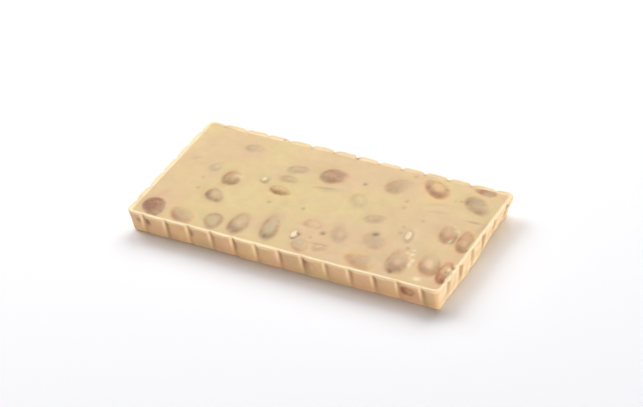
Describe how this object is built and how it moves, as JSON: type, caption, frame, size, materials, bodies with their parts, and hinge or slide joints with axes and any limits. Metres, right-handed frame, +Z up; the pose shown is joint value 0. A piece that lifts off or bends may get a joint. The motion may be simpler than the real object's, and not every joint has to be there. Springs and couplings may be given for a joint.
{
  "type": "nougat bar",
  "caption": "Flat oblong bar of pale nougat with whole almonds showing in its poured face, a raised lip round that face, and narrow upright grooves in sloping sides.",
  "frame": {"origin": "middle of the flat underside, at the level it rests on", "axes": "+X along the bar, +Y towards the back long side, +Z up out of the poured face"},
  "size_m": [0.1906, 0.0929, 0.0151],
  "materials": {
    "nougat": "soft satin cream nougat, slightly translucent, with a smooth poured top and tray-smooth sides",
    "almond_skin": "thin papery brown almond skin, partly veiled by a film of nougat",
    "peeled_almond": "pale broken almond without its skin"
  },
  "bodies": {
    "root": {"almond_back_1": "almond_skin", "almond_back_2": "almond_skin", "almond_back_3": "almond_skin", "almond_back_4": "almond_skin", "almond_back_5": "almond_skin", "almond_front_1": "almond_skin", "almond_front_10": "almond_skin", "almond_front_2": "almond_skin", "almond_front_3": "almond_skin", "almond_front_4": "almond_skin", "almond_front_5": "almond_skin", "almond_front_6": "almond_skin", "almond_front_7": "almond_skin", "almond_front_8": "almond_skin", "almond_front_9": "almond_skin", "almond_middle_1": "almond_skin", "almond_middle_10": "almond_skin", "almond_middle_11": "almond_skin", "almond_middle_12": "almond_skin", "almond_middle_2": "almond_skin", "almond_middle_3": "almond_skin", "almond_middle_4": "almond_skin", "almond_middle_5": "almond_skin", "almond_middle_6": "almond_skin", "almond_middle_7": "almond_skin", "almond_middle_8": "almond_skin", "almond_middle_9": "almond_skin", "almond_right_1": "almond_skin", "almond_right_2": "almond_skin", "almond_right_3": "almond_skin", "almond_wall_1": "almond_skin", "almond_wall_2": "almond_skin", "chip_left": "peeled_almond", "chip_middle": "peeled_almond", "chip_right": "peeled_almond", "chip_sliver": "peeled_almond", "nougat": "nougat"}
  },
  "joints": []
}
